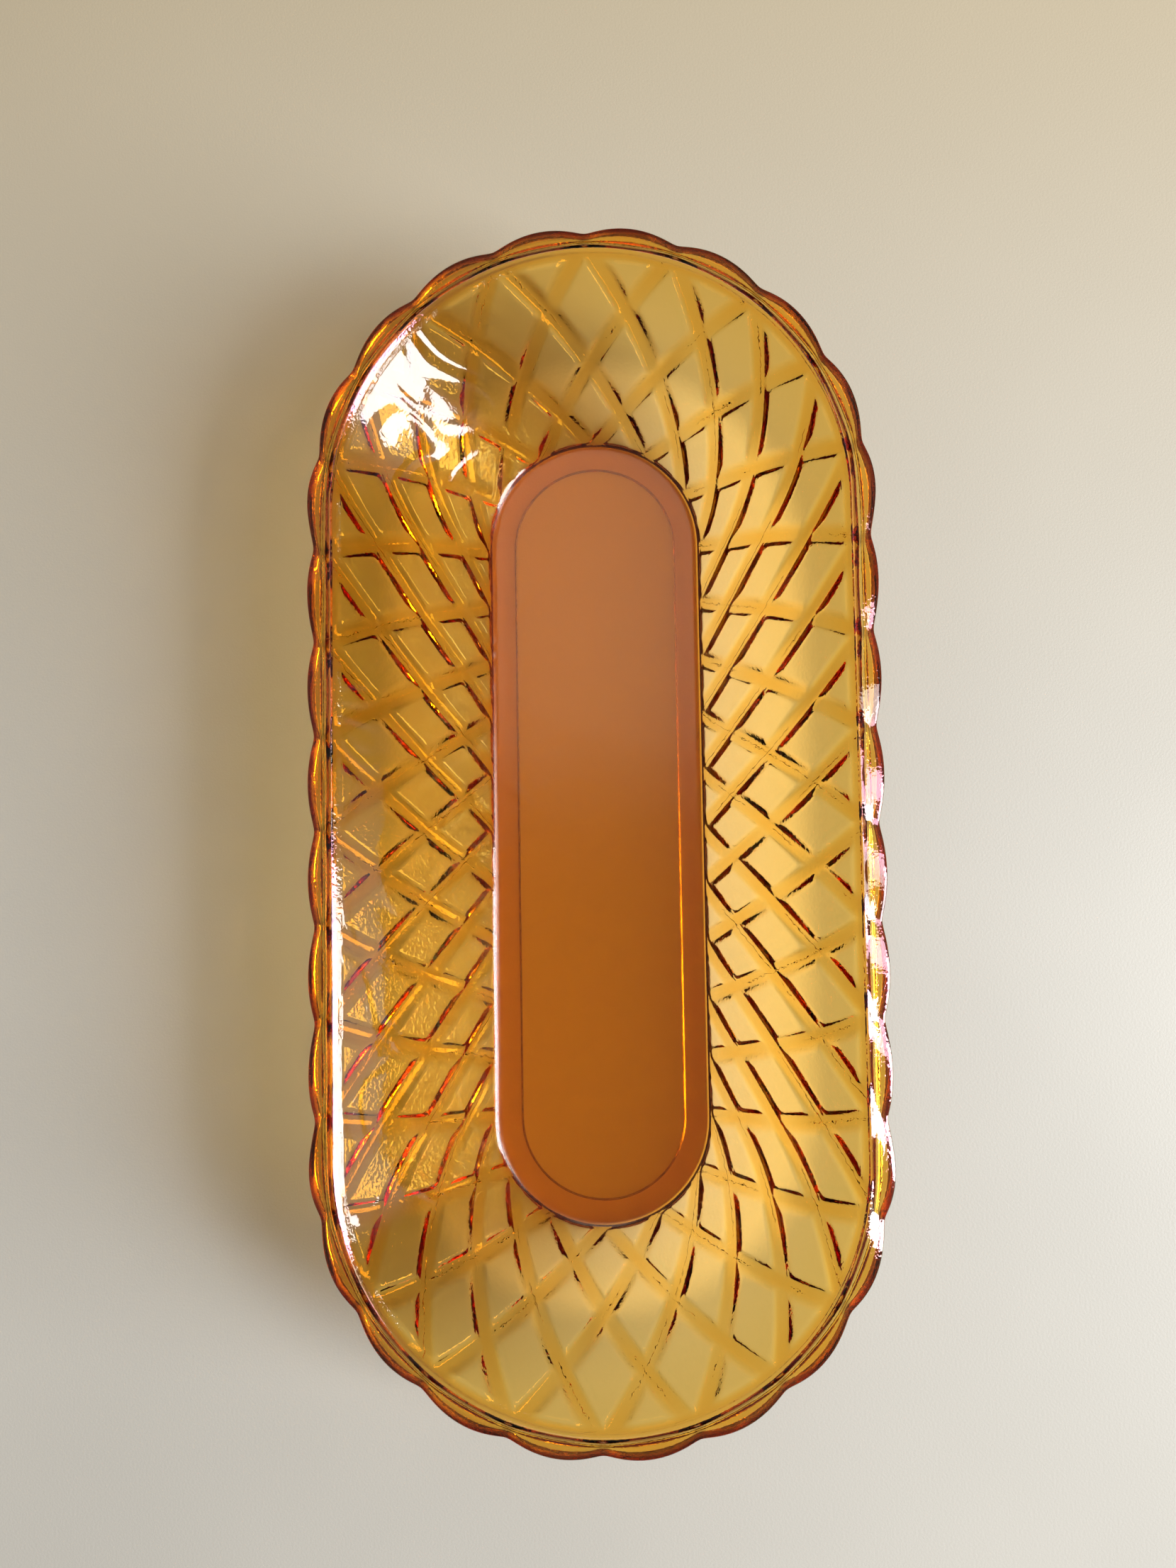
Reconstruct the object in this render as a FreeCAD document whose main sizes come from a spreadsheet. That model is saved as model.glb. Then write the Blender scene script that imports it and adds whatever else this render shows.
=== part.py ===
import FreeCAD, Part
import math
import os

import Sketcher

from FreeCAD import Vector

# An oblong pressed-glass bowl, one piece of glass, in millimetres.
# +X runs along the bowl's length, +Y across it and +Z up; the origin is the middle of its base.
# Every outline is a stadium: two half circles joined by straight sides. All of them share the same
# straight sides, so the wall is the same distance from the next outline all the way round.

SIZES = {
    "height": 45.0,             # table to the top of the rim
    "half_straight": 81.5,      # half the length of the straight sides
    "notch_reach": 70.5,        # rim outline at the notches, from the middle of the bowl to a side
    "rim_inner_reach": 65.2,    # inner edge of the rim
    "rim_depth": 5.0,           # top of the rim to the underside of its lobes
    "rim_rounding": 2.0,        # rounding of the rim's outer top edge
    "rim_under_rounding": 2.6,  # rounding below the lobes
    "rim_inner_rounding": 0.8,  # rounding of the rim's inner edge
    "lobe_bulge": 1.4,          # how far a lobe stands out between two notches
    "lobe_count": 32,
    "hollow_reach": 29.6,       # foot of the inner wall, where it would meet the floor in a corner
    "floor_thickness": 4.2,     # table to the inside floor
    "floor_rounding": 5.0,      # cove between the floor and the inner wall
    "wall_thickness": 4.1,      # under the rim, square to the inner wall, over the straps
    "foot_reach": 30.6,         # outer edge of the ring that the bowl stands on
    "foot_height": 1.2,         # upright edge of the base
    "recess_reach": 23.0,       # inner edge of the ring that the bowl stands on
    "recess_depth": 0.6,
    "strap_width": 4.4,         # raised straps of the woven pattern
    "strap_height": 1.5,        # straps above the flat diamonds between them
    "cell_draft": 0.6,          # how much wider each diamond is at its mouth than at its floor
    "pattern_foot_gap": 0.5,    # plain glass between the base's upright edge and the pattern
    "pattern_drop": 2.0,        # top of the rim to the pattern's last crossings, hidden in the rim
}

# Rows of crossings between the foot and the rim: the straps rise one pitch in half the wall.
# The rows spread out a little towards the rim, as the power of their share of the height.
ROWS = 4
ROW_SPREAD = 1.2

# Points along the outline of one lobe, and how softly its two notches are rounded, in lobe widths.
LOBE_POINTS = 16
NOTCH_SOFTNESS = 0.12

# A cutter starts this far outside the glass, so that it never ends on the glass's own surface.
CLEAR = 2.0

# Two heights or reaches closer than this are the same.
TOUCH = 1e-4

doc = FreeCAD.newDocument("pressed_glass_bowl")
sheet = doc.addObject("Spreadsheet::Sheet", "sizes")
for row, (alias, value) in enumerate(SIZES.items(), start=1):
    sheet.set("A%d" % row, alias.replace("_", " "))
    sheet.set("B%d" % row, "%g" % value)
    sheet.setAlias("B%d" % row, alias)
doc.recompute()

# Slopes of the wall's two surfaces as run over rise. The glass grows thicker towards the rim.
FLARE = "(sizes.rim_inner_reach - sizes.hollow_reach) / (sizes.height - sizes.floor_thickness)"
PATTERN_TOP = "(sizes.height - sizes.pattern_drop)"
LEVEL_THICKNESS = "sizes.wall_thickness * sqrt(1 + (%s)^2)" % FLARE


def inner_reach(level):
    """Expression for the inner wall's reach at a height given as an expression."""
    return "sizes.hollow_reach + (%s - sizes.floor_thickness) * %s" % (level, FLARE)


WALL_TOP_REACH = "(%s + %s)" % (inner_reach(PATTERN_TOP), LEVEL_THICKNESS)
OUTER_FLARE = "(%s - sizes.foot_reach) / (%s - sizes.foot_height)" % (WALL_TOP_REACH, PATTERN_TOP)


def outer_reach(level):
    """Expression for the outer wall's reach at a height given as an expression."""
    return "sizes.foot_reach + (%s - sizes.foot_height) * %s" % (level, OUTER_FLARE)


def section_sketch(body, name, corners, offset):
    """A straight-sided cross-section, square to the length, with every corner bound to the sheet."""
    sketch = body.newObject("Sketcher::SketchObject", name)
    plane = [p for p in body.Origin.OriginFeatures if p.Role == "YZ_Plane"][0]
    sketch.AttachmentSupport = [(plane, "")]
    sketch.MapMode = "FlatFace"
    sketch.setExpression("AttachmentOffset.Base.z", offset)
    spots = [[float(sketch.evalExpression(rule)) for rule in corner] for corner in corners]
    count = len(corners)
    for number in range(count):
        ends = [Vector(*spots[(number + step) % count], 0) for step in (0, 1)]
        sketch.addGeometry(Part.LineSegment(*ends), False)
    for number in range(count):
        sketch.addConstraint(Sketcher.Constraint("Coincident", number, 2, (number + 1) % count, 1))
    for number, (spot, corner) in enumerate(zip(spots, corners)):
        for way, axis, size, rule in zip(("X", "Y"), (-2, -1), spot, corner):
            if rule == "0":
                sketch.addConstraint(Sketcher.Constraint("PointOnObject", number, 1, axis))
                continue
            kind = "Distance" + way
            held = sketch.addConstraint(Sketcher.Constraint(kind, -1, 1, number, 1, size))
            label = "corner%d%s" % (number, way)
            sketch.renameConstraint(held, label)
            sketch.setExpression("Constraints." + label, rule)
    return sketch


def stadium_form(name, corners):
    """A solid with one half-section all round: straight between the ends, turned round each end."""
    body = doc.addObject("PartDesign::Body", name)
    mirrored = [("-(%s)" % across, up) for across, up in reversed(corners) if across != "0"]
    middle = body.newObject("PartDesign::Pad", name + "_straight")
    middle.Profile = section_sketch(body, name + "_section", corners + mirrored, "-sizes.half_straight")
    middle.setExpression("Length", "2 * sizes.half_straight")
    doc.recompute()
    end = body.newObject("PartDesign::Revolution", name + "_end")
    half_section = section_sketch(body, name + "_half_section", corners, "sizes.half_straight")
    end.Profile = half_section
    end.ReferenceAxis = (half_section, ["V_Axis"])
    end.Angle = 180.0
    end.Reversed = True
    doc.recompute()
    other_end = body.newObject("PartDesign::Mirrored", name + "_other_end")
    other_end.Originals = [end]
    plane = [p for p in body.Origin.OriginFeatures if p.Role == "YZ_Plane"][0]
    other_end.MirrorPlane = (plane, [""])
    body.Tip = other_end
    doc.recompute()
    return body


def wall_blank():
    """Base and wall as one solid form, up to the pattern's last crossings inside the rim."""
    top_level = PATTERN_TOP
    corners = [
        ("0", "0"),
        ("sizes.foot_reach", "0"),
        ("sizes.foot_reach", "sizes.foot_height"),
        (outer_reach(top_level), top_level),
        ("0", top_level),
    ]
    return stadium_form("wall_blank", corners)


def base_recess():
    """The shallow room under the base, inside the ring that the bowl stands on."""
    below = "-%g" % CLEAR
    corners = [
        ("0", below),
        ("sizes.recess_reach", below),
        ("sizes.recess_reach", "sizes.recess_depth"),
        ("0", "sizes.recess_depth"),
    ]
    return stadium_form("base_recess", corners)


def hollow():
    """The room inside the bowl, as a solid to take away, with the cove round its floor."""
    top_level = "(sizes.height + %g)" % CLEAR
    corners = [
        ("0", "sizes.floor_thickness"),
        ("sizes.hollow_reach", "sizes.floor_thickness"),
        (inner_reach(top_level), top_level),
        ("0", top_level),
    ]
    body = stadium_form("hollow", corners)
    room = body.Tip
    names = []
    for number, edge in enumerate(room.Shape.Edges, start=1):
        box = edge.BoundBox
        if abs(box.ZMax - sheet.floor_thickness) < TOUCH:
            names.append("Edge%d" % number)
    cove = body.newObject("PartDesign::Fillet", "floor_cove")
    cove.Base = (room, names)
    cove.setExpression("Radius", "sizes.floor_rounding")
    body.Tip = cove
    doc.recompute()
    return body


def stadium_point(turn, reach):
    """Point and outward direction at a share of the way round a stadium, from the -Y side to +X."""
    run = sheet.half_straight
    arc = math.pi * reach
    along = (turn % 1.0) * (4 * run + 2 * arc)
    if along < run:
        return Vector(along, -reach, 0), Vector(0, -1, 0)
    along -= run
    if along < arc:
        angle = along / reach - math.pi / 2
        out = Vector(math.cos(angle), math.sin(angle), 0)
        return Vector(run, 0, 0) + out * reach, out
    along -= arc
    if along < 2 * run:
        return Vector(run - along, reach, 0), Vector(0, 1, 0)
    along -= 2 * run
    if along < arc:
        angle = along / reach + math.pi / 2
        out = Vector(math.cos(angle), math.sin(angle), 0)
        return Vector(-run, 0, 0) + out * reach, out
    return Vector(along - arc - run, -reach, 0), Vector(0, -1, 0)


def lobe_swell(place):
    """0 at each notch and 1 at the middle of each lobe, along an arc; place counts lobes."""
    off = abs(place - round(place))
    eased = math.hypot(off, NOTCH_SOFTNESS) - NOTCH_SOFTNESS
    eased /= math.hypot(0.5, NOTCH_SOFTNESS) - NOTCH_SOFTNESS
    return 1 - (1 - eased) ** 2


def rim_lobes():
    """The lobed rim as a plate of solid glass, before the hollow is taken out of it."""
    lobes = int(sheet.lobe_count)
    points = []
    for number in range(lobes * LOBE_POINTS):
        place = number / LOBE_POINTS
        spot, out = stadium_point(place / lobes, sheet.notch_reach)
        points.append(spot + out * (sheet.lobe_bulge * lobe_swell(place)))
    outline = Part.BSplineCurve()
    outline.interpolate(Points=points, PeriodicFlag=True)
    underside = sheet.height - sheet.rim_depth
    disc = Part.Face(Part.Wire([outline.toShape()]))
    disc.translate(Vector(0, 0, underside))
    plate = disc.extrude(Vector(0, 0, sheet.rim_depth))
    top = [edge for edge in plate.Edges if abs(edge.BoundBox.ZMin - sheet.height) < TOUCH]
    plate = plate.makeFillet(sheet.rim_rounding, top)
    low = [edge for edge in plate.Edges if abs(edge.BoundBox.ZMax - underside) < TOUCH]
    plate = plate.makeFillet(sheet.rim_under_rounding, low)
    rim = doc.addObject("Part::Feature", "rim_lobes")
    rim.Shape = plate
    return rim


def wall_spot(column, share):
    """A point of the outer wall and its outward normal; column counts pitches, share climbs 0 to 1."""
    flare = float(sheet.evalExpression(OUTER_FLARE))
    low = sheet.foot_height + sheet.pattern_foot_gap
    high = sheet.height - sheet.pattern_drop
    level = low + (high - low) * share ** ROW_SPREAD
    reach = sheet.foot_reach + (level - sheet.foot_height) * flare
    spot, out = stadium_point(column / sheet.lobe_count, reach)
    normal = out - Vector(0, 0, flare)
    normal.normalize()
    return spot + Vector(0, 0, level), normal


def inset(corners, normal, gap):
    """A convex outline with each side moved inwards by a gap, in its own plane."""
    count = len(corners)
    sides = []
    for number in range(count):
        start = corners[number]
        way = (corners[(number + 1) % count] - start).normalize()
        inward = normal.cross(way)
        sides.append((start + inward * gap, way, inward))
    moved = []
    for number in range(count):
        point, _, inward = sides[number]
        base, way, _ = sides[number - 1]
        moved.append(base + way * ((point - base).dot(inward) / way.dot(inward)))
    return moved


def diamond_cutter(column, share, corner_spots):
    """One flat-floored diamond, or half of one, as a solid to take away from the outer wall."""
    centre, normal = wall_spot(column, share)
    corners = []
    for corner_column, corner_share in corner_spots:
        spot, _ = wall_spot(corner_column, corner_share)
        corners.append(spot - normal * (spot - centre).dot(normal))
    floor = inset(corners, normal, sheet.strap_width / 2)
    slope = sheet.cell_draft / sheet.strap_height
    mouth = inset(corners, normal, sheet.strap_width / 2 - sheet.cell_draft - slope * CLEAR)
    rings = []
    for outline, offset in ((floor, -sheet.strap_height), (mouth, CLEAR)):
        lifted = [corner + normal * offset for corner in outline]
        rings.append(Part.makePolygon(lifted + lifted[:1]))
    return Part.makeLoft(rings, True, True)


def diamond_cutters():
    """All the diamonds between the woven straps, row by row round the wall."""
    cutters = []
    for row in range(ROWS + 1):
        share = row / ROWS
        shift = 0.5 * ((row + 1) % 2)
        for number in range(int(sheet.lobe_count)):
            column = number + shift
            right = (column + 0.5, share)
            top = (column, (row + 1) / ROWS)
            left = (column - 0.5, share)
            bottom = (column, (row - 1) / ROWS)
            corners = [right, top, left, bottom]
            middle = share
            if row == 0:
                corners = [right, top, left]
                middle = share + 1 / (3 * ROWS)
            if row == ROWS:
                corners = [left, bottom, right]
                middle = share - 1 / (3 * ROWS)
            cutters.append(diamond_cutter(column, middle, corners))
    pattern = doc.addObject("Part::Feature", "diamond_cutters")
    pattern.Shape = Part.Compound(cutters)
    return pattern


def joined(kind, name, base, tool):
    """A boolean of two objects, worked out at once."""
    made = doc.addObject(kind, name)
    made.Base = base
    made.Tool = tool
    doc.recompute()
    return made


def glass_bowl():
    """The finished bowl: the wall pressed with its pattern, the rim added, the inside taken out."""
    pressed_wall = joined("Part::Cut", "pressed_wall", wall_blank(), diamond_cutters())
    wall_and_rim = joined("Part::Fuse", "wall_and_rim", pressed_wall, rim_lobes())
    open_bowl = joined("Part::Cut", "open_bowl", wall_and_rim, hollow())
    recessed = joined("Part::Cut", "recessed_bowl", open_bowl, base_recess())
    bowl = doc.addObject("Part::Fillet", "eased_bowl")
    bowl.Base = recessed
    edges = []
    for number, edge in enumerate(recessed.Shape.Edges, start=1):
        box = edge.BoundBox
        reach = max(abs(box.YMin), abs(box.YMax))
        if box.ZMin > sheet.height - TOUCH and reach < sheet.rim_inner_reach + TOUCH:
            edges.append((number, sheet.rim_inner_rounding, sheet.rim_inner_rounding))
    bowl.Edges = edges
    bowl.Label = "glass_bowl"
    doc.recompute()
    return bowl


def check_and_write(pieces):
    """Stop on any failed feature or bad solid, then write one STEP file for each piece."""
    for item in doc.Objects:
        if "Invalid" in item.State or "Error" in item.State:
            raise RuntimeError("%s failed: %s" % (item.Name, item.State))
    for piece in pieces:
        shape = piece.Shape
        if shape.isNull() or not shape.isValid() or len(shape.Solids) != 1:
            raise RuntimeError("%s is not one sound solid" % piece.Label)
    os.makedirs("parts", exist_ok=True)
    for piece in pieces:
        piece.Shape.exportStep("parts/%s.step" % piece.Label)
        box = piece.Shape.BoundBox
        size = (piece.Label, box.XLength, box.YLength, box.ZLength, piece.Shape.Volume / 1000)
        print("%s %.2f x %.2f x %.2f mm, %.1f cm3" % size)


check_and_write([glass_bowl()])
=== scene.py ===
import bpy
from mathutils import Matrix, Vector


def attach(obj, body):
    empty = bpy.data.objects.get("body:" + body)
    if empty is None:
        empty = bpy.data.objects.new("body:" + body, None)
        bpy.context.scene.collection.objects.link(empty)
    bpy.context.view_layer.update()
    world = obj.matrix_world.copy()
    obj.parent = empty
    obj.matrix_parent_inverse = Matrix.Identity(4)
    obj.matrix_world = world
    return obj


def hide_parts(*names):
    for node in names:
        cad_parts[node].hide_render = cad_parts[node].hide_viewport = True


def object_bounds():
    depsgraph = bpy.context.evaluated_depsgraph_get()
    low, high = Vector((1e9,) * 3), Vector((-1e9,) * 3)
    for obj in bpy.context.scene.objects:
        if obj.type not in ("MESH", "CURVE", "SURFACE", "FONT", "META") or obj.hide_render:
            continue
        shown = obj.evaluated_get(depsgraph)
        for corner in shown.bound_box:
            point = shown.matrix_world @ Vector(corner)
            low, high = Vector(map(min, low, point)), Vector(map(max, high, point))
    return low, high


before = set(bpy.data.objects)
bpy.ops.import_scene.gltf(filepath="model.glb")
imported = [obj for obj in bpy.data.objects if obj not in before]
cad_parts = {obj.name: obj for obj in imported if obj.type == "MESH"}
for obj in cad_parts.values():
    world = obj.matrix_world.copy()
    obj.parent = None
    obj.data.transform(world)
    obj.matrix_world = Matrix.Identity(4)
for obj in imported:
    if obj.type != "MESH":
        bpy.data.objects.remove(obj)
CAD_BOX = [list(corner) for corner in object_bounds()]

import math

import bpy
import numpy as np
from bpy.props import FloatProperty, FloatVectorProperty, IntProperty, PointerProperty
from mathutils import Euler

bl_info = {
    "name": "Pressed Glass Bowl",
    "version": (1, 0, 0),
    "blender": (4, 5, 0),
    "location": "3D View > Sidebar > Glass Bowl",
    "description": "Makes an oblong pressed-glass bowl in iridescent amber, and a table to show it on",
    "category": "Add Mesh",
}

MM = 0.001
LENGTH, WIDTH, HEIGHT = [high - low for low, high in zip(*CAD_BOX)]


# ---------------------------------------------------------------- shader expressions

class Wire:
    """A socket in a material's node tree that can be used in Python sums."""

    def __init__(self, nodes, socket):
        self.nodes = nodes
        self.socket = socket

    def _maths(self, operation, *values):
        made = self.nodes.add("ShaderNodeMath", {"operation": operation}, dict(enumerate(values)))
        return made.out(0)

    def __add__(self, other):
        return self._maths("ADD", self, other)

    __radd__ = __add__

    def __sub__(self, other):
        return self._maths("SUBTRACT", self, other)

    def __rsub__(self, other):
        return self._maths("SUBTRACT", other, self)

    def __mul__(self, other):
        return self._maths("MULTIPLY", self, other)

    __rmul__ = __mul__

    def __truediv__(self, other):
        return self._maths("DIVIDE", self, other)

    def __pow__(self, other):
        return self._maths("POWER", self, other)

    def __abs__(self):
        return self._maths("ABSOLUTE", self)

    def larger(self, other):
        return self._maths("MAXIMUM", self, other)

    def sine(self):
        return self._maths("SINE", self)

    def ramp(self, start, end):
        """0 below start, 1 above end, smooth between."""
        settings = {"interpolation_type": "SMOOTHSTEP"}
        values = {"Value": self, "From Min": start, "From Max": end}
        return self.nodes.add("ShaderNodeMapRange", settings, values).out("Result")


class Nodes:
    """The node tree of one material or of the world, emptied and ready to fill."""

    def __init__(self, owner):
        owner.use_nodes = True
        self.tree = owner.node_tree
        self.tree.nodes.clear()

    def add(self, kind, settings=None, values=None):
        """Adds a node: its settings first, then a value or a wire for each named socket."""
        node = self.tree.nodes.new(kind)
        for key, setting in (settings or {}).items():
            if key == "stops":
                self._set_stops(node.color_ramp, setting)
            else:
                setattr(node, key, setting)
        for key, value in (values or {}).items():
            socket = node.inputs[key]
            if isinstance(value, Wire):
                self.tree.links.new(value.socket, socket)
            else:
                socket.default_value = value
        made = Placed(self, node)
        return made

    @staticmethod
    def _set_stops(ramp, stops):
        while len(ramp.elements) > len(stops):
            ramp.elements.remove(ramp.elements[-1])
        while len(ramp.elements) < len(stops):
            ramp.elements.new(1.0)
        for element, (place, colour) in zip(ramp.elements, stops):
            element.position = place
            element.color = (*colour, 1.0)

    def blend(self, factor, first, second):
        """A colour between two colours."""
        node = self.add("ShaderNodeMix", {"data_type": "RGBA"}, {"Factor": factor})
        for key, value in ((6, first), (7, second)):
            socket = node.node.inputs[key]
            if isinstance(value, Wire):
                self.tree.links.new(value.socket, socket)
            else:
                socket.default_value = (*value[:3], 1.0)
        return Wire(self, node.node.outputs[2])

    def noise(self, place, scale, detail=2.0, roughness=0.5, distortion=0.0):
        values = {"Scale": scale, "Detail": detail, "Roughness": roughness, "Distortion": distortion}
        values["Vector"] = place
        return self.add("ShaderNodeTexNoise", None, values).out(0)


class Placed:
    """A node that has been added, giving its outputs as wires."""

    def __init__(self, nodes, node):
        self.nodes = nodes
        self.node = node

    def out(self, key=0):
        return Wire(self.nodes, self.node.outputs[key])


# ---------------------------------------------------------------- sizes and colours

class BowlSizes(bpy.types.PropertyGroup):
    """Sizes of the bowl's own features."""

    lobes: IntProperty(name="Lobes", description="Lobes round the rim", default=32, min=8)
    lobe_bulge: FloatProperty(
        name="Lobe bulge", description="How far a lobe stands out past its notches",
        default=1.4 * MM, unit="LENGTH")
    lobe_sink: FloatProperty(
        name="Notch depth", description="How far the rim dips at each notch",
        default=1.0 * MM, unit="LENGTH")
    rim_depth: FloatProperty(
        name="Rim depth", description="Top of the rim to the underside of its lobes",
        default=5.0 * MM, unit="LENGTH")
    rim_inner: FloatProperty(
        name="Rim inner reach", description="Middle of the bowl to the rim's inner edge",
        default=65.2 * MM, unit="LENGTH")
    hollow: FloatProperty(
        name="Hollow reach", description="Reach of the inner wall where it would meet the floor",
        default=29.6 * MM, unit="LENGTH")
    floor: FloatProperty(
        name="Floor height", description="Table to the inside floor",
        default=4.2 * MM, unit="LENGTH")
    cove: FloatProperty(
        name="Cove", description="Radius of the curve between floor and wall",
        default=5.0 * MM, unit="LENGTH")
    wall: FloatProperty(
        name="Wall", description="Thickness of the wall over the straps, under the rim",
        default=4.1 * MM, unit="LENGTH")
    foot_reach: FloatProperty(
        name="Foot reach", description="Outer edge of the standing ring",
        default=30.6 * MM, unit="LENGTH")
    foot: FloatProperty(
        name="Foot height", description="Upright edge of the base",
        default=1.2 * MM, unit="LENGTH")
    foot_gap: FloatProperty(
        name="Foot gap", description="Plain glass between the base and the woven pattern",
        default=0.5 * MM, unit="LENGTH")
    pattern_drop: FloatProperty(
        name="Pattern drop", description="Top of the rim to the level of the pattern's last crossings",
        default=2.0 * MM, unit="LENGTH")
    recess: FloatProperty(
        name="Recess reach", description="Inner edge of the standing ring",
        default=23.0 * MM, unit="LENGTH")
    recess_depth: FloatProperty(
        name="Recess depth", description="Depth of the hollow under the base",
        default=0.6 * MM, unit="LENGTH")
    strap: FloatProperty(
        name="Strap width", description="Width of the raised straps",
        default=4.4 * MM, unit="LENGTH")
    strap_height: FloatProperty(
        name="Strap height", description="Height of the straps over the flat diamonds",
        default=1.5 * MM, unit="LENGTH")
    flank_up: FloatProperty(
        name="Upper flank", description="Width of the slope on the side of a strap that faces the rim",
        default=2.6 * MM, unit="LENGTH")
    flank_down: FloatProperty(
        name="Lower flank", description="Width of the slope on the side of a strap that faces the foot",
        default=1.0 * MM, unit="LENGTH")
    weave: FloatProperty(
        name="Weave", description="How far a strap dips where it passes under another",
        default=0.55 * MM, unit="LENGTH")


class GlassLook(bpy.types.PropertyGroup):
    """Colour and finish of the glass."""

    absorb: FloatVectorProperty(
        name="Absorbed", description="Light taken per metre of glass, for red, green and blue",
        default=(16.0, 160.0, 680.0))
    # painted shade: this dark tint on the rim also stands for the shade of long paths and inner reflections
    # at the rim's edges and notches, besides the lustre itself
    lustre_and_shade: FloatVectorProperty(
        name="Lustre", description="Colour of the metallic lustre where it lies thickest, on the rim",
        subtype="COLOR", default=(0.12, 0.02, 0.03))
    film: FloatProperty(
        name="Film", description="Thickness of the iridescent film in nanometres", default=640.0)
    rim_film: FloatProperty(
        name="Rim film", description="Thickness of the film on the rim in nanometres", default=480.0)


class StageLook(bpy.types.PropertyGroup):
    """The table, the light and the camera."""

    table: FloatVectorProperty(
        name="Table", description="Colour of the table", subtype="COLOR", default=(0.54, 0.52, 0.48))
    # painted shade: the table is darker and warmer past the far end of the bowl, where less of the window's
    # light falls
    far: FloatVectorProperty(
        name="Far table", description="Colour of the table past the far end of the bowl",
        subtype="COLOR", default=(0.52, 0.43, 0.28))
    # painted light: a paler, warmer table colour under the bowl, standing for light focused through the
    # glass
    under: FloatVectorProperty(
        name="Under the bowl", description="Colour of the table where the bowl hides it",
        subtype="COLOR", default=(0.84, 0.77, 0.64))


# ---------------------------------------------------------------- the bowl's shape

class Outline:
    """The family of stadium outlines that all share the same straight sides."""

    def __init__(self, sizes):
        self.notch_reach = WIDTH / 2 - sizes.lobe_bulge
        self.straight = LENGTH / 2 - WIDTH / 2 + END_SHORTFALL
        self.flare = (sizes.rim_inner - sizes.hollow) / (HEIGHT - sizes.floor)
        top = HEIGHT - sizes.pattern_drop
        wall_top = self.inner_reach(sizes, top) + sizes.wall * math.hypot(1, self.flare)
        self.outer_flare = (wall_top - sizes.foot_reach) / (top - sizes.foot)

    def spots(self, turns, reach):
        """Plan points and outward directions; turn 0 is the middle of the -Y side, then towards +X."""
        run = self.straight
        reach = np.broadcast_to(reach, turns.shape)
        arc = math.pi * reach
        along = (turns % 1.0) * (4 * run + 2 * arc)
        # fold the far half of the outline onto the near half: half a turn is a half turn about Z
        half = 2 * run + arc
        far = along >= half
        along = np.where(far, along - half, along)
        angle = np.clip((along - run) / reach, 0, math.pi) - math.pi / 2
        out = np.stack([np.cos(angle), np.sin(angle)], -1)
        centre = np.where(along < run, along, np.where(along > run + arc, 2 * run + arc - along, run))
        spots = out * reach[..., None]
        spots[..., 0] += centre
        sign = np.where(far, -1.0, 1.0)[..., None]
        return spots * sign, out * sign

    def inner_reach(self, sizes, level):
        return sizes.hollow + (level - sizes.floor) * self.flare

    def outer_reach(self, sizes, level):
        return sizes.foot_reach + (level - sizes.foot) * self.outer_flare


FLOOR_LEVEL = 4.2 * MM
END_SHORTFALL = 0.68 * MM     # the lobes beside an end's notch stop this far short of the full reach
NOTCH_SOFTNESS = 0.05         # how softly the notches are rounded
PITCH_STEPS = 30              # columns of faces across one lobe
COARSE = 4                    # fine columns to one coarse column on the smooth surfaces
PATTERN_ROWS = 60             # rows of faces up the whole pattern, so that diagonals run along the straps
WALL_ROWS = 57                # rows of them that show below the rim
ROW_SPREAD = 1.2              # how the rows of crossings spread out towards the rim
CROWN = 0.16                  # how much lower a strap's edges are than its middle
RIM_ROWS = 33
OUTER_SHADE_BAND = (0.46, 0.51, 0.60, 0.66)    # where the painted shade and the lustre start and end, at the rim's outer edge
INNER_SHADE_BAND = (0.76, 0.79, 0.84, 0.88)    # and beside its inner edge


def smooth(value, start, end):
    share = np.clip((value - start) / (end - start), 0, 1)
    return share * share * (3 - 2 * share)


def lobe_swell(turns, lobes):
    """0 at each notch and 1 at the middle of each lobe, along an arc with softened ends."""
    place = turns * lobes
    off = np.abs(place - np.round(place))
    eased = np.hypot(off, NOTCH_SOFTNESS) - NOTCH_SOFTNESS
    eased = eased / (math.hypot(0.5, NOTCH_SOFTNESS) - NOTCH_SOFTNESS)
    return 1 - (1 - eased) ** 2


def curve_through(points, count):
    """Points of a smooth curve through a few given ones, as many as asked for."""
    points = np.array(points)
    ends = [2 * points[0] - points[1], 2 * points[-1] - points[-2]]
    padded = np.concatenate([ends[:1], points, ends[1:]])
    made = []
    for place in np.linspace(0, len(points) - 1, count):
        first = min(int(place), len(points) - 2)
        share = place - first
        p0, p1, p2, p3 = padded[first:first + 4]
        made.append(0.5 * (2 * p1 + (p2 - p0) * share + (2 * p0 - 5 * p1 + 4 * p2 - p3) * share ** 2
                           + (3 * p1 - p0 - 3 * p2 + p3) * share ** 3))
    return np.array(made)


def ramp_down(off, start, width):
    """1 before start and 0 past start + width, along a slope whose two ends are a little rounded."""
    share = np.clip((off - start) / width, 0, 1)
    return 1 - 0.75 * share - 0.25 * share * share * (3 - 2 * share)


def strap_section(sizes, off):
    """Height of a strap across its width, from 0 to 1; off grows towards the rim."""
    half = sizes.strap / 2
    above = ramp_down(off, half - sizes.flank_up / 2, sizes.flank_up)
    below = ramp_down(-off, half - sizes.flank_down / 2, sizes.flank_down)
    return (1 - CROWN * np.clip(off / half, -1, 1) ** 2) * above * below


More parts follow.
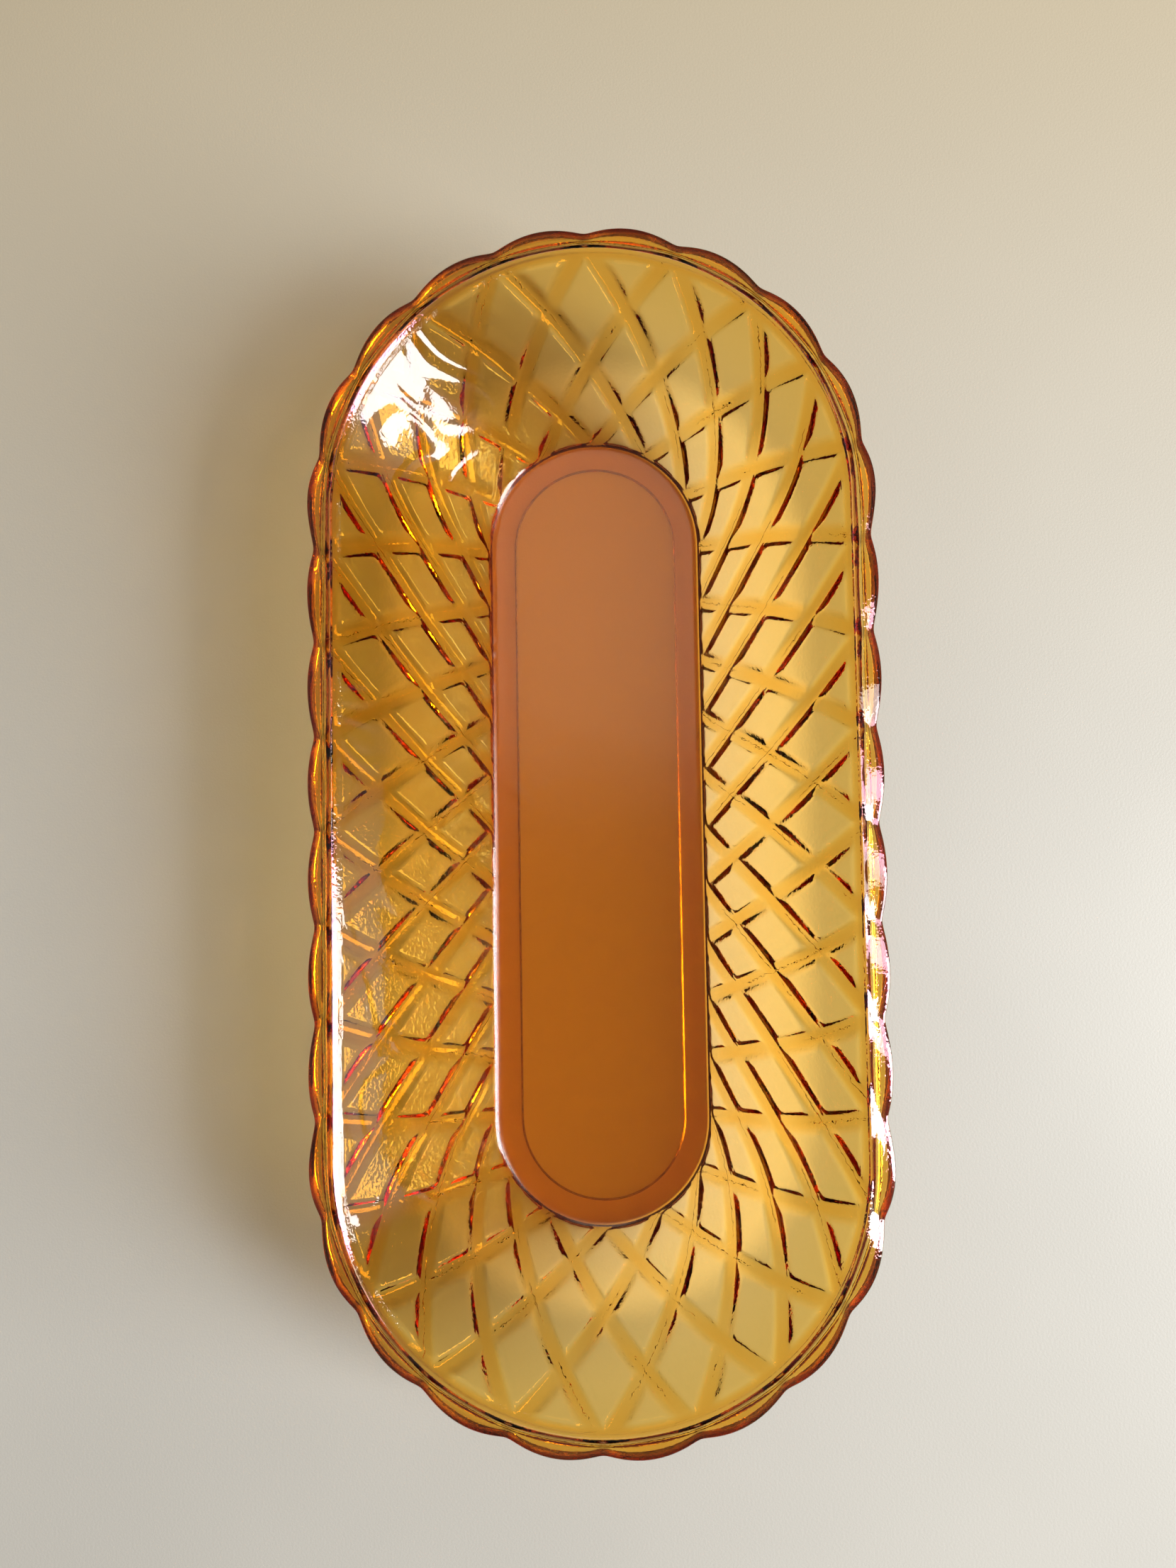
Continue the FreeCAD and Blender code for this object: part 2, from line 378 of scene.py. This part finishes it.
def woven_wall(sizes, outline, turns):
    """Rows of points of the outer wall from foot to rim, with the straps raised and woven."""
    shares = np.arange(WALL_ROWS + 1)[:, None] / PATTERN_ROWS
    low = sizes.foot + sizes.foot_gap
    high = HEIGHT - sizes.pattern_drop
    levels = low + (high - low) * shares ** ROW_SPREAD
    reach = outline.outer_reach(sizes, levels) + 0 * turns[None]
    spots, outs = outline.spots(np.broadcast_to(turns, reach.shape), reach)
    points = np.concatenate([spots, np.broadcast_to(levels, reach.shape)[..., None]], -1)
    normals = np.concatenate([outs, np.full(reach.shape + (1,), -outline.outer_flare)], -1)
    normals /= np.linalg.norm(normals, axis=-1, keepdims=True)
    # how many metres one step of the pattern's own coordinates is, square to each family of straps
    step = 1.0 / (sizes.lobes * PITCH_STEPS)
    around = (np.roll(points, -1, 1) - np.roll(points, 1, 1)) / (2 * step)
    upward = np.gradient(points, shares[:, 0], axis=0)
    pairs = ((around, around), (around, upward), (upward, upward))
    a, b, c = [(first * second).sum(-1) for first, second in pairs]
    area = a * c - b * b
    slant = math.hypot(high - low, reach[-1, 0] - reach[0, 0])
    over = 0.5 - 0.5 * np.cos(4 * math.pi * shares)
    dip = sizes.weave / sizes.strap_height
    level = {-1: 1 - (1 - over) * dip, 1: 1 - over * dip}
    height = 0
    offs = {}
    for rise in (-1, 1):
        place = sizes.lobes * turns[None] + 2 * rise * shares
        off = place - np.round(place)
        steep = np.sqrt((sizes.lobes ** 2 * c - 4 * sizes.lobes * rise * b + 4 * a) / area)
        offs[rise] = rise * off / steep
        height = np.maximum(height, strap_section(sizes, offs[rise]) * level[rise])
    edge_low = smooth(shares * slant, 0, 1.5 * MM)
    edge_high = smooth((shares[-1] - shares) * slant, 0, 0.5 * MM)
    depth = sizes.strap_height * (1 - height) * edge_low * edge_high
    points = points - normals * depth[..., None]
    rises = np.abs(offs[-1]) < np.abs(offs[1])
    angles = [2 * math.pi * (sizes.lobes * turns[None] + 2 * rise * shares) for rise in (-1, 1)]
    weave = np.stack([part(angle) for angle in angles for part in (np.sin, np.cos)], -1)
    return points, rises, weave


def rim_rows(sizes, outline, turns):
    """Rows of points over the rim, from under the lobes to the inner edge."""
    low = sizes.foot + sizes.foot_gap
    base_level = low + (HEIGHT - sizes.pattern_drop - low) * (WALL_ROWS / PATTERN_ROWS) ** ROW_SPREAD
    base = outline.outer_reach(sizes, base_level)
    under = HEIGHT - sizes.rim_depth
    notch = outline.notch_reach
    lobe = notch + sizes.lobe_bulge
    inner = sizes.rim_inner
    sink = sizes.lobe_sink
    last = (outline.inner_reach(sizes, HEIGHT - 0.8 * MM), HEIGHT - 0.8 * MM)
    lip = [(inner + 0.9 * MM, HEIGHT - 0.1 * MM), (inner + 0.4 * MM, HEIGHT),
           (inner, HEIGHT - 0.3 * MM), last]
    lobe_line = curve_through([
        (base, base_level), (base + 0.3 * MM, under + 1.4 * MM), (base + 0.9 * MM, under + 2.0 * MM),
        (base + 1.5 * MM, under + 1.3 * MM), (base + 2.0 * MM, under + 0.4 * MM), (base + 2.7 * MM, under),
        (lobe - 1.9 * MM, under + 0.1 * MM), (lobe - 1.4 * MM, under + 0.8 * MM),
        (lobe - 0.6 * MM, under + 2.2 * MM),
        (lobe, under + 3.5 * MM), (lobe - 0.2 * MM, under + 3.8 * MM), (lobe - 1.0 * MM, HEIGHT - 0.95 * MM),
        (lobe - 2.4 * MM, HEIGHT - 0.65 * MM), (inner + 2.6 * MM, HEIGHT - 0.3 * MM),
        (inner + 1.5 * MM, HEIGHT - 0.15 * MM), *lip], RIM_ROWS)
    notch_line = curve_through([
        (base, base_level), (base + 0.3 * MM, under + 1.3 * MM), (base + 0.8 * MM, under + 1.8 * MM),
        (base + 1.3 * MM, under + 1.2 * MM), (base + 1.7 * MM, under + 0.5 * MM),
        (base + 2.0 * MM, under + 0.2 * MM), (notch - 1.5 * MM, under + 0.4 * MM),
        (notch - 1.0 * MM, under + 1.2 * MM), (notch - 0.4 * MM, under + 2.2 * MM),
        (notch, under + 2.9 * MM), (notch - 0.2 * MM, under + 3.2 * MM),
        (notch - 0.9 * MM, HEIGHT - 0.6 * MM - sink),
        (notch - 2.0 * MM, HEIGHT - 0.4 * MM - sink), (inner + 2.2 * MM, HEIGHT - 0.9 * sink),
        (inner + 1.6 * MM, HEIGHT - 0.6 * sink), *lip], RIM_ROWS)
    swell = lobe_swell(turns, sizes.lobes)[None, :, None]
    line = np.minimum(notch_line[:, None, :] * (1 - swell) + lobe_line[:, None, :] * swell, (lobe, HEIGHT))
    spots, _ = outline.spots(np.broadcast_to(turns, line.shape[:2]), line[..., 0])
    return np.concatenate([spots, line[..., 1:]], -1)


def rim_lustre_and_shade(sizes, turns):
    """How thickly painted shade and the dark lustre lie on each point of the rim's rows, from 0 to 1: darker
    at the rim's outer and inner edges and across the top at each notch.
    """
    across = np.linspace(0, 1, RIM_ROWS)[:, None]
    outer, inner = [smooth(across, band[0], band[1]) * (1 - smooth(across, band[2], band[3]))
                    for band in (OUTER_SHADE_BAND, INNER_SHADE_BAND)]
    top = smooth(across, OUTER_SHADE_BAND[0], OUTER_SHADE_BAND[1]) * (1 - smooth(across, INNER_SHADE_BAND[2], INNER_SHADE_BAND[3]))
    # painted shade across the top of the rim at each notch, where it creases
    notch = 1 - smooth(lobe_swell(turns, sizes.lobes), 0.03, 0.3)
    return np.maximum(np.maximum(outer, 0.8 * inner), 0.6 * top * notch)


def smooth_rows(outline, turns, line):
    """Rows of points of a smooth surface from its section, given as reach and level pairs."""
    line = np.array(line)
    reach = np.broadcast_to(line[:, 0][:, None], (len(line), len(turns)))
    spots, _ = outline.spots(np.broadcast_to(turns, reach.shape), reach)
    levels = np.broadcast_to(line[:, 1][:, None, None], reach.shape + (1,))
    return np.concatenate([spots, levels], -1)


def arc_line(centre, radius, start, end, count):
    """Points of an arc in a section, by angles in radians."""
    angles = np.linspace(start, end, count)
    return [(centre[0] + radius * math.cos(a), centre[1] + radius * math.sin(a)) for a in angles]


def base_section(sizes):
    """The underside from the middle of its recess to the start of the woven wall."""
    foot = sizes.foot_reach
    ease = 0.55 * MM
    line = [(4 * MM, sizes.recess_depth), (sizes.recess - 2 * ease, sizes.recess_depth)]
    line += arc_line((sizes.recess - ease, sizes.recess_depth - ease), ease, math.pi / 2, 0, 4)
    line += arc_line((sizes.recess + ease, ease), ease, math.pi, 1.5 * math.pi, 4)
    line += arc_line((foot - ease, ease), ease, 1.5 * math.pi, 2 * math.pi, 4)
    line += [(foot, sizes.foot)]
    return line


def inside_section(sizes, outline):
    """The inner wall, cove and floor, from just under the rim's inner edge to the middle."""
    slope = math.atan2(1, outline.flare)
    reach_cut = sizes.cove * math.tan(slope / 2)
    centre = (sizes.hollow - reach_cut, sizes.floor + sizes.cove)
    top = HEIGHT - 2.5 * MM
    end_angle = slope - math.pi / 2
    arc = arc_line(centre, sizes.cove, end_angle, -math.pi / 2, 12)
    wall_top = (outline.inner_reach(sizes, top), top)
    wall = [tuple(np.array(wall_top) * (1 - s) + np.array(arc[0]) * s) for s in np.linspace(0, 1, 10)[:-1]]
    floor = [(reach, sizes.floor) for reach in np.linspace(arc[-1][0], 4 * MM, 5)[1:]]
    return wall + arc + floor


class Skin:
    """Collects rows of points and the faces between them into one closed mesh."""

    def __init__(self):
        self.points = []
        self.marks = []
        self.faces = []
        self.count = 0

    def row(self, points, marks=(0, 0, 0, 0)):
        """Adds a row, with marks for the material to read, and gives the numbers of its points."""
        numbers = np.arange(self.count, self.count + len(points))
        self.points.append(points)
        self.marks.append(np.broadcast_to(marks, (len(points), 4)))
        self.count += len(points)
        return numbers

    def band(self, low, high, rises=None):
        """Faces between two rows of equal length, split along the straps where that is asked for."""
        low_next, high_next = np.roll(low, -1), np.roll(high, -1)
        if rises is None:
            self.faces.append(np.stack([low, low_next, high_next, high], -1))
            return
        first = np.where(rises[:, None], np.stack([low, low_next, high_next], -1),
                         np.stack([low, low_next, high], -1))
        second = np.where(rises[:, None], np.stack([low, high_next, high], -1),
                          np.stack([low_next, high_next, high], -1))
        self.faces += [first, second]

    def fan(self, fine, coarse, fine_first):
        """Faces between a fine row and a coarse one; fine_first says that the fine row is lower."""
        for number in range(len(coarse)):
            here, after = coarse[number], coarse[(number + 1) % len(coarse)]
            span = [fine[(number * COARSE + step) % len(fine)] for step in range(COARSE + 1)]
            middle = COARSE // 2
            made = [(span[k], span[k + 1], here if k < middle else after) for k in range(COARSE)]
            made.append((span[middle], after, here))
            if not fine_first:
                made = [face[::-1] for face in made]
            self.faces.append(np.array(made))

    def close(self, row, upward):
        """Closes the middle with faces straight across, from one long side to the other."""
        count = len(row)
        for number in range(-count // 4, count // 4):
            near, near_next = row[number % count], row[(number + 1) % count]
            far, far_next = row[(count // 2 - number) % count], row[(count // 2 - number - 1) % count]
            corners = [near, near_next, far_next, far]
            face = [v for k, v in enumerate(corners) if v not in corners[:k]]
            if len(face) < 3:
                continue
            self.faces.append(np.array([face if upward else face[::-1]]))

    def mesh(self, name):
        mesh = bpy.data.meshes.new(name)
        faces = [tuple(int(v) for v in face) for block in self.faces for face in block]
        mesh.from_pydata(np.concatenate(self.points).tolist(), [], faces)
        marks = mesh.color_attributes.new("weave", "FLOAT_COLOR", "POINT")
        marks.data.foreach_set("color", np.concatenate(self.marks).astype(np.float32).ravel())
        mesh.validate()
        return mesh


# marks of the other surfaces, where the woven wall's own marks stay within -1 and 1
INSIDE_MARK = (0, 0, 0, 2)
RIM_MARK = np.array((1, 0, 0, 0))    # and up to twice that where the painted shade and the rim's lustre are thickest


def bowl_mesh(sizes):
    """The whole bowl as one closed skin."""
    outline = Outline(sizes)
    fine = np.arange(sizes.lobes * PITCH_STEPS) / (sizes.lobes * PITCH_STEPS)
    coarse = fine[::COARSE]
    skin = Skin()
    base = [skin.row(row) for row in smooth_rows(outline, coarse, base_section(sizes))]
    skin.close(base[0], upward=False)
    for low, high in zip(base, base[1:]):
        skin.band(low, high)
    wall_points, rises, weave = woven_wall(sizes, outline, fine)
    wall = [skin.row(*pair) for pair in zip(wall_points, weave)]
    for number, (low, high) in enumerate(zip(wall, wall[1:])):
        skin.band(low, high, rises[number])
    # painted shade and lustre on the rim, carried to the material in the first mark
    lustre_shade_marks = rim_lustre_and_shade(sizes, fine)[..., None] * RIM_MARK
    rim = [skin.row(*pair) for pair in zip(rim_rows(sizes, outline, fine)[1:], RIM_MARK + lustre_shade_marks[1:])]
    for low, high in zip([wall[-1]] + rim, rim):
        skin.band(low, high)
    inside_rows = smooth_rows(outline, coarse, inside_section(sizes, outline))
    inside = [skin.row(row, INSIDE_MARK) for row in inside_rows]
    skin.fan(wall[0], base[-1], False)
    skin.fan(rim[-1], inside[0], True)
    for low, high in zip(inside, inside[1:]):
        skin.band(low, high)
    skin.close(inside[-1], upward=True)
    return skin.mesh("pressed_bowl")


# ---------------------------------------------------------------- materials

GLASS_IOR = 1.5
FILM_IOR = 1.9
RIM_FILM_IOR = 1.65
RIPPLE = 0.00012              # relief heights in metres: long ripples of the whole skin,
CRACK_DEPTH = 0.0001          # hair cracks in the straps,
STIPPLE_INSIDE = 0.000006     # and grain on either side of the glass
STIPPLE_OUTSIDE = 0.00002

def amber_glass(look):
    """Amber glass all through, under a thin film that shows colours at a slant."""
    material = bpy.data.materials.new("amber_glass")
    nodes = Nodes(material)
    place = nodes.add("ShaderNodeTexCoord").out("Object")
    parts = nodes.add("ShaderNodeSeparateXYZ", None, {"Vector": place})
    floor = 1 - parts.out("Z").ramp(FLOOR_LEVEL + 0.2 * MM, FLOOR_LEVEL + 1.2 * MM)
    marks = nodes.add("ShaderNodeAttribute", {"attribute_name": "weave"})
    waves = nodes.add("ShaderNodeSeparateXYZ", None, {"Vector": marks.out("Color")})
    inside = marks.out("Alpha").ramp(1.2, 1.6)
    height = glass_relief(nodes, place, parts, waves, marks.out("Alpha"), inside)
    bump = nodes.add("ShaderNodeBump", None, {"Strength": 1.0, "Distance": 1.0, "Height": height})
    satin = nodes.noise(place, 1200.0, 1.0)
    # painted shade: the rim's edges and notches are tinted dark, for the lustre lying thickest there and for
    # the shade of long paths and inner reflections in the glass
    lustre_and_shade = nodes.blend(waves.out("X").ramp(1.0, 2.0), (1.0, 1.0, 1.0), look.lustre_and_shade)
    finish = {"Base Color": lustre_and_shade, "Roughness": floor * (satin * 0.16 + 0.12) + 0.012, "IOR": GLASS_IOR,
              "Transmission Weight": 1.0, "Normal": bump.out()}
    plain = nodes.add("ShaderNodeBsdfPrincipled", None, finish)
    filmed, edged = [filmed_glass(nodes, finish, *film)
                     for film in ((look.film, FILM_IOR), (look.rim_film, RIM_FILM_IOR))]
    slant = nodes.add("ShaderNodeLayerWeight", None, {"Blend": 0.5}).out("Facing")
    mixed = {0: slant.ramp(0.35, 0.8), 1: plain.out(), 2: filmed}
    glass = nodes.add("ShaderNodeMixShader", None, mixed).out()
    # the rim's own film, thicker, clouds over it in patches
    patches = nodes.noise(place, 45.0, 1.0).ramp(0.38, 0.55) * waves.out("X").ramp(0.98, 1.0)
    shader = nodes.add("ShaderNodeMixShader", None, {0: patches, 1: glass, 2: edged})
    strongest = max(look.absorb)
    tint = [1 - part / strongest for part in look.absorb]
    inner = nodes.add("ShaderNodeVolumeAbsorption", None, {"Color": (*tint, 1.0), "Density": strongest})
    nodes.add("ShaderNodeOutputMaterial", None, {"Surface": shader.out(), "Volume": inner.out()})
    return material


def filmed_glass(nodes, finish, thickness, ior):
    """The glass's finish under a thin film."""
    film = {"Thin Film Thickness": thickness, "Thin Film IOR": ior}
    return nodes.add("ShaderNodeBsdfPrincipled", None, {**finish, **film}).out()


def glass_relief(nodes, place, parts, waves, last_wave, inside):
    """Height in metres of everything on the glass too fine for its mesh."""
    ripple = nodes.noise(place, 60.0, 2.0, 0.45) * RIPPLE
    # flow marks: contours of a slow noise, strongest on the +Y half of the inside
    slow = nodes.noise(place, 26.0, 1.5, 0.5, 0.6)
    end = parts.out("X").ramp(0.04, 0.12) * 0.00004 + 0.00003
    flow = (slow * 62.0).sine() * inside * parts.out("Y").ramp(-0.01, 0.045) * end
    # hair cracks of chilled glass that wander along the middle of each strap, here and there
    cracks = 0
    for number, (sine, cosine) in enumerate(((waves.out("X"), waves.out("Y")), (waves.out("Z"), last_wave))):
        wander = nodes.noise(place, 420.0 + 60 * number, 2.0, 0.6) - 0.5
        line = 1 - abs(sine - wander * 0.7).ramp(0.015, 0.09)
        broken = nodes.noise(place, 38.0 + 7 * number, 1.0).ramp(0.5, 0.56)
        cracks = line * cosine.ramp(0.3, 0.6) * (1 - inside) * broken + cracks
    # grain left by the mould and the plunger
    stipple = nodes.noise(place, 1100.0, 1.0).ramp(0.4, 0.8)
    grain = stipple * (inside * STIPPLE_INSIDE + (1 - inside) * STIPPLE_OUTSIDE)
    return ripple + flow - cracks * CRACK_DEPTH + grain


def table_top(look):
    """Pale painted table, with painted shade past the far end of the bowl and painted light under it."""
    material = bpy.data.materials.new("table_top")
    nodes = Nodes(material)
    place = nodes.add("ShaderNodeTexCoord").out("Object")
    parts = nodes.add("ShaderNodeSeparateXYZ", None, {"Vector": place})
    cloud = nodes.noise(place, 6.0, 3.0)
    plain = nodes.blend(cloud.ramp(0.3, 0.7), look.table, [part * 0.93 for part in look.table])
    # painted shade: the table darkens and warms towards +X, past the far end of the bowl
    far_shade = nodes.blend(parts.out("X").ramp(-0.05, 0.4), plain, look.far)
    # painted light: a paler patch hidden under the bowl, which lights the glass from below as light focused
    # through the glass would
    past_middle = (abs(parts.out("X")) - LENGTH / 4).larger(0)
    reach = (past_middle * past_middle + parts.out("Y") * parts.out("Y")) ** 0.5
    colour = nodes.blend(reach.ramp(WIDTH * 0.38, WIDTH * 0.46), look.under, far_shade)
    grain = nodes.noise(place, 1500.0, 2.0)
    bump = nodes.add("ShaderNodeBump", None, {"Strength": 0.1, "Distance": 0.0004, "Height": grain})
    shader = nodes.add("ShaderNodeBsdfPrincipled", None, {
        "Base Color": colour, "Roughness": 0.5, "Normal": bump.out()})
    nodes.add("ShaderNodeOutputMaterial", None, {"Surface": shader.out()})
    return material


# ---------------------------------------------------------------- operators

TABLE_HALF = 1.2              # metres from the middle of the table to its edges
ROOM_STRENGTH = 0.34
# name, place and size in metres, power in watts, colour
PANELS = (
    ("window", (-0.4, -1.4, 0.82), (0.7, 0.95), 44.0, (0.95, 0.98, 1.0)),
    ("upper_window", (-0.03, -0.95, 1.2), (0.36, 0.5), 5.5, (1.0, 0.98, 0.93)),
    ("ceiling", (0.34, 0.0, 1.1), (0.5, 0.5), 1.3, (1.0, 0.92, 0.74)),
)
SENSOR_MM = 36.0
LENS_MM = 24.97
CAMERA_PLACE = (-3.1 * MM, -9.95 * MM, 313.9 * MM)
CAMERA_TURN = (2.9, 2.415, -90.9)    # degrees

class GLASSBOWL_OT_bowl(bpy.types.Operator):
    """Make the pressed-glass bowl round the frame's own bowl"""

    bl_idname = "glassbowl.bowl"
    bl_label = "Make Bowl"

    def execute(self, context):
        scene = context.scene
        mesh = bowl_mesh(scene.bowl_sizes)
        mesh.shade_smooth()
        mesh.materials.append(amber_glass(scene.glass_look))
        bowl = bpy.data.objects.new("pressed_bowl", mesh)
        scene.collection.objects.link(bowl)
        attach(bowl, "root")
        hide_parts("glass_bowl")
        return {"FINISHED"}


class GLASSBOWL_OT_stage(bpy.types.Operator):
    """Set out the table, the light and the camera"""

    bl_idname = "glassbowl.stage"
    bl_label = "Set Stage"

    def execute(self, context):
        scene = context.scene
        scene.view_settings.view_transform = "Standard"
        self.add_table(scene)
        self.add_light(scene)
        self.add_camera(scene)
        return {"FINISHED"}

    def add_table(self, scene):
        half = TABLE_HALF
        mesh = bpy.data.meshes.new("table")
        corners = [(-half, -half, 0), (half, -half, 0), (half, half, 0), (-half, half, 0)]
        mesh.from_pydata(corners, [], [(0, 1, 2, 3)])
        mesh.materials.append(table_top(scene.stage_look))
        table = bpy.data.objects.new("table", mesh)
        table.location.z = CAD_BOX[0][2] - 0.1 * MM
        scene.collection.objects.link(table)

    def add_light(self, scene):
        world = bpy.data.worlds.new("studio")
        scene.world = world
        nodes = Nodes(world)
        way = nodes.add("ShaderNodeTexCoord").out("Generated")
        parts = nodes.add("ShaderNodeSeparateXYZ", None, {"Vector": way})
        up = parts.out("Z")
        plain = nodes.blend(up.ramp(0.05, 0.75), (0.05, 0.035, 0.03), (0.85, 0.74, 0.6))
        # a paler wall low down on the window's side
        aside = 1 - abs(parts.out("X") + 0.3).ramp(0.15, 0.45)
        low = up.ramp(0.02, 0.1) * (1 - up.ramp(0.28, 0.45)) * (0 - parts.out("Y")).ramp(0.7, 0.9)
        room = nodes.blend(low * aside, plain, (4.5, 5.0, 5.6))
        back = nodes.add("ShaderNodeBackground", None, {"Color": room, "Strength": ROOM_STRENGTH})
        nodes.add("ShaderNodeOutputWorld", None, {"Surface": back.out()})
        for panel in PANELS:
            self.add_panel(scene, *panel)

    def add_panel(self, scene, name, place, size, power, colour):
        """A soft panel of light, facing the middle of the bowl."""
        light = bpy.data.lights.new(name, "AREA")
        light.shape = "RECTANGLE"
        light.size, light.size_y = size
        light.energy = power
        light.color = colour
        panel = bpy.data.objects.new(name, light)
        panel.location = place
        facing = -panel.location
        panel.rotation_euler = facing.to_track_quat("-Z", "Y").to_euler()
        scene.collection.objects.link(panel)

    def add_camera(self, scene):
        camera = bpy.data.cameras.new("camera")
        camera.sensor_fit = "VERTICAL"
        camera.sensor_height = SENSOR_MM
        camera.lens = LENS_MM
        stand = bpy.data.objects.new("camera", camera)
        stand.location = CAMERA_PLACE
        stand.rotation_euler = Euler([math.radians(angle) for angle in CAMERA_TURN])
        scene.collection.objects.link(stand)
        scene.camera = stand


class GLASSBOWL_PT_panel(bpy.types.Panel):
    """Sizes, colours and operators of the bowl"""

    bl_label = "Glass Bowl"
    bl_idname = "GLASSBOWL_PT_panel"
    bl_space_type = "VIEW_3D"
    bl_region_type = "UI"
    bl_category = "Glass Bowl"

    def draw(self, context):
        layout = self.layout
        for group in (context.scene.bowl_sizes, context.scene.glass_look, context.scene.stage_look):
            box = layout.box()
            for key in group.bl_rna.properties.keys():
                if key not in ("rna_type", "name"):
                    box.prop(group, key)
        for operator in (GLASSBOWL_OT_bowl, GLASSBOWL_OT_stage):
            layout.operator(operator.bl_idname)


CLASSES = (BowlSizes, GlassLook, StageLook, GLASSBOWL_OT_bowl, GLASSBOWL_OT_stage, GLASSBOWL_PT_panel)


def register():
    for made in CLASSES:
        bpy.utils.register_class(made)
    bpy.types.Scene.bowl_sizes = PointerProperty(type=BowlSizes)
    bpy.types.Scene.glass_look = PointerProperty(type=GlassLook)
    bpy.types.Scene.stage_look = PointerProperty(type=StageLook)


def unregister():
    for key in ("bowl_sizes", "glass_look", "stage_look"):
        delattr(bpy.types.Scene, key)
    for made in reversed(CLASSES):
        bpy.utils.unregister_class(made)


def main():
    register()
    bpy.ops.glassbowl.stage()
    bpy.ops.glassbowl.bowl()


if __name__ == "__main__":
    main()
